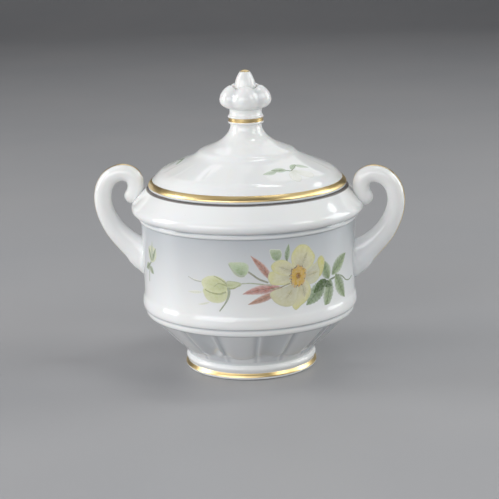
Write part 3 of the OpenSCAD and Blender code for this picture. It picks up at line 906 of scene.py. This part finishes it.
def paint_rose(art):
    """The open wild rose with its ring of stamens."""
    hub, stamens = (31.2, 56.3), 44
    art.petal(circle(hub, 6.4, 7.6), hub, 0, PETAL_GREY, PETAL_GREY, PETAL_CREAM, PETAL_CREAM, 0.9, soft=0.5)
    art.petal([(28.3, 61), (27.7, 66.4), (29.7, 69.8), (32.4, 71.4), (36.2, 70.6), (39.3, 67.2), (40.8, 64.4),
        (39.6, 61.2), (35.5, 58.2), (31, 57.6)], (32.3, 59), 2, *ROSE)
    art.petal([(34, 57.6), (37.6, 60.6), (42, 61.2), (43.5, 63.6), (45.2, 63.9), (46.6, 61.5), (45.8, 58),
        (43.7, 54), (40.6, 51.6), (36.5, 51.4), (33.4, 53.6)], (34.4, 55.6), 1, PETAL_GREY,
        srgb("ceceb4"), srgb("dadab0"), OUTLINE)
    art.petal([(42.2, 62.4), (43.6, 64), (45.3, 63.9), (46.8, 61.6), (46.4, 58.2), (45, 55), (43.4, 54),
        (43.4, 57), (42.4, 60)], (44.4, 59), 3, srgb("d8d690"), srgb("d4d182"),
        srgb("cec86e"), OUTLINE)
    art.petal([(29.4, 53), (31.4, 54.4), (35.6, 53.6), (37.9, 50.4), (38, 46.2), (35.6, 43.2), (32.6, 41.4),
        (29.8, 39.6), (27.8, 42.2), (27.6, 47)], (31.4, 54), 2, *ROSE, weight=0.6)
    art.petal([(16.8, 48.4), (18.3, 50.2), (21.8, 51.1), (26.2, 52.2), (29.8, 54), (31.4, 50.4), (30.8, 46),
        (28.6, 42.6), (25.6, 41.8), (22, 42.7), (18.8, 45)], (29.4, 52.8), 3, srgb("bab69a"),
        srgb("d2d0b4"), srgb("d6d3a6"), OUTLINE, weight=0.6)
    art.petal([(16.1, 57.6), (16.2, 55.6), (17.7, 53.4), (21.8, 52.7), (26.6, 52.8), (29.6, 54.6), (29, 57),
        (24.6, 57.8), (20, 59.4), (17.2, 59.6)], (29, 56), 2, PETAL_GREY, srgb("dad7b4"),
        PETAL_YELLOW, OUTLINE, weight=0.6)
    art.petal([(18, 63.3), (21.1, 65), (24.6, 64.7), (27.7, 62.5), (29.6, 59.6), (29.2, 57.4), (25, 57),
        (20.6, 58.2), (17.8, 60.8)], (29.2, 58), 4, *ROSE, weight=0.62)
    shade, lit = srgb("cac4a4"), srgb("d4cfac")
    for base, tip, wide in (((33.2, 60.6), (36.2, 67.2), 2.4), ((33.4, 51.4), (34.6, 45.4), 3.0),
                            ((28, 50), (24.4, 45.6), 2.4), ((27.6, 59.4), (21.4, 61.8), 2.2),
                            ((36, 55.4), (42.2, 56.6), 2.4)):
        art.leaf(base, tip, wide, 0.3, 5, shade, lit, 0.0, 1.0, 0.0)
    art.petal(circle(hub, 4.1, 4.9), hub, 6, STAMEN, STAMEN, srgb("d6ae42"), srgb("ceac58"), 1.0,
        soft=1.0)
    for i in range(stamens):
        a = 2 * pi * (i + 0.4 * rng.random()) / stamens
        reach = 0.86 + 0.26 * rng.random()
        tip = (hub[0] + 4.1 * reach * cos(a), hub[1] + 5.1 * reach * sin(a))
        root = (hub[0] + 1.5 * cos(a), hub[1] + 1.8 * sin(a))
        art.stem([root, tip], 0.14, 0.2, STAMEN_ORANGE, 7, 0.95)
        dark = rng.random() < (0.85 if cos(a - 2.4) > 0.1 else 0.3)
        art.dot(tip, 0.26 + 0.12 * rng.random(), 8, STAMEN_DARK if dark else srgb("d09e44"), 0.85)
    art.petal(circle(hub, 1.5, 1.7), hub, 8, STAMEN_DARK, srgb("b27c30"), srgb("c89638"), STAMEN, 1.0,
        soft=1.0)


def paint_buds(art):
    """The half-open bud, the small green bud and the two at the top."""
    pale, grey = srgb("e2e4cc"), srgb("a0a49c")
    for base, tip, wide in (((-16, 54.9), (-23, 55.8), 0.8), ((-15.6, 49.6), (-24, 49), 1.7),
                            ((-12.2, 44.8), (-18.6, 43.2), 1.2)):
        art.leaf(base, tip, wide, 0.4, 0, pale, srgb("e8e8d8"), 0.0, 0.7)
    art.stem([(-15.9, 54.6), (-19.6, 54.9), (-23.4, 56.4)], 0.7, 0.35, grey, 1, 0.75)
    art.petal([(-15.2, 51.4), (-15, 48), (-13, 45.6), (-10, 44.6), (-6.3, 44.9), (-3.6, 46.8), (-2.7, 50.4),
        (-8, 51)], (-6, 50), 1, srgb("c0c78e"), srgb("d0d5a6"), srgb("d8dab0"),
        srgb("ced0a4"), soft=0.5)
    art.petal([(-16.2, 54.6), (-13.9, 57), (-9.8, 58), (-6, 57), (-3.3, 54.8), (-2.8, 52.4), (-3.8, 50.2),
        (-7.4, 49), (-11.7, 49.6), (-14.6, 50.9)], (-5, 52.4), 2, srgb("b8c08a"),
        srgb("ccd29e"), srgb("e2e4be"), srgb("ced29a"), weight=0.55)
    art.stem([(-14.4, 50.9), (-11.7, 49.7), (-7.4, 49.1), (-4, 50.2)], 0.5, 0.9, BUD_LINE, 3, 0.95)
    art.stem([(-9.8, 52.6), (-7.6, 54.2), (-5.5, 53.9), (-3.4, 53.2)], 0.3, 0.7, BUD_LINE, 3, 0.95)
    art.stem([(-9.6, 57.8), (-6.6, 56.4), (-4.4, 54.8), (-3, 53.6)], 0.4, 0.9, BUD_LINE, 3, 0.95)
    art.petal([(-3.2, 55.6), (0.4, 55.5), (3.4, 54.6), (3, 53.2), (0.2, 52.3), (-3, 51.4), (-3.6, 53.6)],
        (-3, 53.4), 3, srgb("b4be8e"), srgb("c8cfa4"), srgb("c2c99e"),
        srgb("96a076"), weight=0.6)
    art.stem([(-2.6, 51.8), (0.2, 52.2), (2.9, 53.9)], 0.7, 0.4, BUD_LINE, 4, 0.95)
    art.stem([(-2.6, 52.4), (-2.6, 48.9), (-4.1, 45.2), (-7.4, 40.6)], 1.5, 0.5, srgb("8a967a"), 4, 0.85)
    art.petal([(-2.4, 64.3), (0.8, 64.9), (4.9, 64.7), (7, 63.3), (7, 60.4), (5.3, 58), (3, 57.4),
        (0.4, 58.8), (-1.3, 61.2)], (3.6, 58.8), 2, srgb("7c966a"), srgb("b0c59e"),
        srgb("cad8b8"), srgb("96ac80"), soft=0.5)
    art.stem([(-2.4, 64), (-0.6, 61), (2.2, 58.4), (5, 58.2)], 0.4, 1.1, srgb("869874"), 3, 0.7)
    art.petal([(17.2, 70.4), (19.7, 70.4), (22.4, 69.8), (23, 67), (21, 64.4), (18.3, 65.6), (17.2, 68.2)],
        (20.6, 65.4), 2, srgb("768e68"), srgb("9ab08a"), srgb("c4d2b6"),
        srgb("b2c6a4"), soft=0.3)
    art.leaf((25.3, 64), (26.5, 72.4), 2.9, 0.3, 2, srgb("6c845c"), srgb("a6ba92"))


def paint_foliage(art):
    """Stems, red young leaves and the compound leaf on the right."""
    art.stem([(2.6, 54.3), (7.6, 54.5), (12.3, 53.9), (17.8, 53)], 0.5, 0.7, srgb("a4ac92"))
    art.stem([(6.6, 60.2), (9.1, 58.4), (11.7, 56.4), (16.2, 54.4)], 0.9, 0.9, srgb("888a76"))
    art.stem([(17.2, 51), (21.8, 51.6), (27, 53.2)], 0.5, 0.7, srgb("a09c80"), 5, 0.95)
    art.stem([(20.6, 65.2), (22.3, 62.6)], 0.7, 0.6, LEAF_DARK, 1)
    art.stem([(25.3, 65.4), (25.7, 61.6)], 0.8, 0.6, LEAF_DEEP, 3)
    art.leaf((18.4, 54.8), (8.1, 67.8), 3.7, -0.9, 1, RED_DARK, RED_LIGHT, 0.05)
    art.leaf((23, 51.4), (3.9, 49.2), 4.7, -1.9, 1, srgb("a86054"), srgb("d49c90"), 0.05)
    art.leaf((21.5, 50), (6.4, 44.1), 3.6, 0.3, 1, srgb("9c5e44"), srgb("d0a088"), 0.05)
    art.stem([(44, 50.8), (48, 50.6), (52.5, 51.2), (57.7, 52)], 0.9, 1.0, LEAF_DEEP, 2)
    art.stem([(57.7, 52), (61.4, 50.4), (65.3, 47.8), (69.6, 46.9), (74, 47.7)], 0.8, 0.5,
             srgb("748864"), 2)
    art.leaf((50, 51.6), (46.2, 61.6), 6.4, 0.6, 1, LEAF_DARK, LEAF_LIGHT, 0.07)
    art.leaf((52, 53.2), (64.6, 61.4), 7.4, 0.8, 2, LEAF_DARK, LEAF_LIGHT, 0.09)
    art.leaf((55, 53), (64, 39.4), 7.4, -0.6, 2, LEAF_DARK, LEAF_LIGHT, 0.09)
    art.leaf((50.8, 51.6), (47.6, 37), 7.2, 0.8, 3, srgb("688052"), srgb("a0b482"), 0.09)
    art.leaf((46.8, 51.6), (35.6, 41.2), 8.2, 0.7, 2, LEAF_DARK, srgb("9cb288"), 0.09, 0.95, 0.3)
    art.leaf((47.8, 51.8), (40, 46.4), 5.0, -0.5, 4, LEAF_DEEP, LEAF_DARK, 0.06, 1.0, 0.05)
    art.leaf((45, 51.4), (52.4, 47.8), 3.4, -0.5, 4, LEAF_DEEP, LEAF_DARK, 0.06, 1.0, 0.05)


def paint_spray(art):
    """The main spray, from its stems up to the open rose."""
    paint_foliage(art)
    paint_buds(art)
    paint_rose(art)


def paint_small_sprig(art):
    """The small bud with two leaves beside the left handle."""
    art.petal([(-54.5, 65), (-52.6, 66.6), (-49, 67), (-46, 65.8), (-45.8, 62.4), (-48.4, 59.4),
        (-51.6, 58.6), (-54.4, 60.6)], (-50.6, 59.8), 1, srgb("acb48e"), srgb("ccd1b0"),
        srgb("d4d8ba"), srgb("aab292"), 0.9)
    sepal = srgb("7a8a6c"), srgb("a8b692")
    art.leaf((-50, 59.4), (-45.8, 66.6), 2.4, 0.4, 2, *sepal)
    art.leaf((-51.2, 59.2), (-54.2, 66), 2.2, -0.3, 2, *sepal)
    art.leaf((-50.4, 60), (-49.4, 69.8), 1.7, 0.2, 2, srgb("96a086"), srgb("bec6ac"))
    art.stem([(-51, 59.4), (-53.4, 57), (-54.6, 53.6), (-55.4, 48)], 0.9, 0.5, srgb("848e76"))
    green = srgb("7e8c6e"), srgb("aab494")
    art.leaf((-53.4, 57.4), (-59, 54.2), 4.2, 0.3, 2, *green)
    art.leaf((-54, 55.8), (-49.4, 53), 3.8, 0.3, 2, *green)


def paint_lid_sprig(art):
    """Two pairs of leaves over a pale side-on flower."""
    inks = srgb("dce2d4"), srgb("eceee8"), srgb("f0f1ed"), srgb("d6dad0"), 0.8
    art.petal([(0.5, 1.5), (-2.6, -2), (-2.8, -6), (-0.4, -7.6), (2, -5.4), (2.4, -1)], (0.8, 0.6), 1, *inks)
    art.petal([(1.6, 1.4), (3, -3.4), (6.2, -6.8), (9.2, -6), (9.8, -2.6), (6, 0.4)], (1.8, 0.8), 1, *inks)
    green, pale = srgb("84a078"), srgb("bcceac")
    art.leaf((-1.4, 2.2), (-9.8, 3.6), 3.8, -0.5, 2, green, pale, 0.06, 0.85)
    art.leaf((-6.8, 3), (-15, 0.6), 3.2, 0.5, 2, green, pale, 0.06, 0.7)
    art.leaf((1.4, 2.4), (7.6, 5.4), 3.1, 0.6, 2, green, pale, 0.06, 0.85)
    art.leaf((5.6, 4.6), (13.4, 0.8), 3.0, 0.9, 2, green, pale, 0.06, 0.7)
    art.stem([(-9.8, 3.4), (-1.4, 2), (0.8, 1.4), (7.6, 5)], 0.6, 0.5, srgb("748a68"), 3)


for name, turn in (("front", 0.0), ("back", 180.0)):
    art = Painting(wall_place(turn))
    paint_spray(art)
    paint_small_sprig(art)
    art.build("painted_spray_" + name, "bowl")
for name, turn in (("right", 44.0), ("left", -94.0), ("back", 166.0)):
    art = Painting(lid_place(turn))
    paint_lid_sprig(art)
    art.build("painted_lid_sprig_" + name, "lid")


# ---- camera, floor, light

# Lengths are metres here. Azimuths count from -Y toward +X.

def turn_by(degrees, axis):
    return Matrix.Rotation(radians(degrees), 4, axis)


def facing(point, azimuth, elevation, distance, roll=0.0):
    """The place of a camera or light that looks at a point from that direction."""
    return (Matrix.Translation(point) @ turn_by(azimuth, "Z") @ turn_by(90 - elevation, "X")
            @ turn_by(-roll, "Z") @ Matrix.Translation((0, 0, distance)))


CAM_AZ, CEILING = 8.0, 1.05
cam_data = bpy.data.cameras.new("camera")
cam_data.sensor_width = 36.0
cam_data.lens = 115.4
cam_data.clip_end = 50.0
cam = put("camera", cam_data)
cam.matrix_world = facing((0.0003, 0, 0.058), CAM_AZ, 13.67, 0.8, roll=1.35)
scene.camera = cam
scene.view_settings.view_transform = "Standard"


def area_light(name, wide, high, power, colour, matrix):
    """A rectangular light; power in watts."""
    data = bpy.data.lights.new(name, "AREA")
    data.shape = "RECTANGLE"
    data.size, data.size_y = wide, high
    data.energy = power
    data.color = colour
    put(name, data).matrix_world = matrix


def softbox(name, azimuth, elevation, distance, wide, high, power, colour):
    """A light that faces the object."""
    area_light(name, wide, high, power, colour, facing((0, 0, 0.07), azimuth, elevation, distance))


def ceiling_panel(name, x0, x1, y0, y1, power, colour):
    """A light facing down, placed left or right and near or far as the camera sees it."""
    middle = Matrix.Translation(((x0 + x1) / 2, (y0 + y1) / 2, CEILING))
    area_light(name, x1 - x0, y1 - y0, power, colour, turn_by(CAM_AZ, "Z") @ middle)


ceiling_panel("panel_left", -1.30, -0.03, -0.45, 0.90, 2.4, (1.0, 0.995, 0.98))
ceiling_panel("panel_right", 0.45, 1.25, -0.40, 0.80, 1.0, (0.98, 0.99, 1.0))
ceiling_panel("strip_top", 0.06, 0.40, -0.02, 0.10, 0.8, (1.0, 1.0, 1.0))
softbox("window_left", CAM_AZ - 38, 18, 1.6, 1.3, 0.8, 11.6, (0.99, 0.99, 1.0))
softbox("window_side_left", CAM_AZ - 92, 20, 1.25, 0.5, 0.9, 7.6, (1.0, 0.995, 0.985))
softbox("window_side_right", CAM_AZ + 102, 20, 1.25, 0.6, 0.9, 7.4, (0.99, 1.0, 0.985))
softbox("softbox_right", CAM_AZ + 60, 34, 1.25, 0.45, 0.6, 3.0, (0.985, 1.0, 0.985))
softbox("softbox_front", CAM_AZ + 2, 22, 1.6, 1.0, 0.6, 3.9, (0.985, 0.985, 1.0))
softbox("softbox_back", CAM_AZ + 172, 42, 1.6, 1.2, 0.8, 3.0, (1.0, 1.0, 1.0))

world = bpy.data.worlds.new("studio")
world.use_nodes = True
background = world.node_tree.nodes["Background"].inputs
background["Color"].default_value = (0.84, 0.86, 0.95, 1)
background["Strength"].default_value = 0.05
scene.world = world


def make_floor():
    """Pale paper with a faint cloud in it."""
    n = Nodes("floor_paper")
    n.set(Base_Color=n.mix(n.span(n.noise(6, 3), 0.3, 0.7), srgb("a4a5a8"), srgb("a9a9ab")),
          Roughness=0.5)
    return n.mat


# The floor curves up into a back wall: (distance behind the object, height).
FLOOR_FRONT, COVE_START, COVE_R, FLOOR_HALF, WALL_TOP = -2.5, 1.6, 0.9, 3.0, 2.6
FLOOR_GAP = 0.00005
cove = [(COVE_START + COVE_R * sin(a), COVE_R - COVE_R * cos(a))
        for a in np.linspace(0.1, pi / 2, 14)]
sweep = [(FLOOR_FRONT, 0.0), (COVE_START, 0.0)] + cove + [(COVE_START + COVE_R, WALL_TOP)]
floor_verts = [(x / MM, y / MM, z / MM) for y, z in sweep for x in (-FLOOR_HALF, FLOOR_HALF)]
floor_faces = [(2 * i, 2 * i + 1, 2 * i + 3, 2 * i + 2) for i in range(len(sweep) - 1)]
floor = put_mesh("floor_sweep", floor_verts, floor_faces, [make_floor()], None)
floor.matrix_world = turn_by(CAM_AZ, "Z") @ Matrix.Translation((0, 0, -FLOOR_GAP))
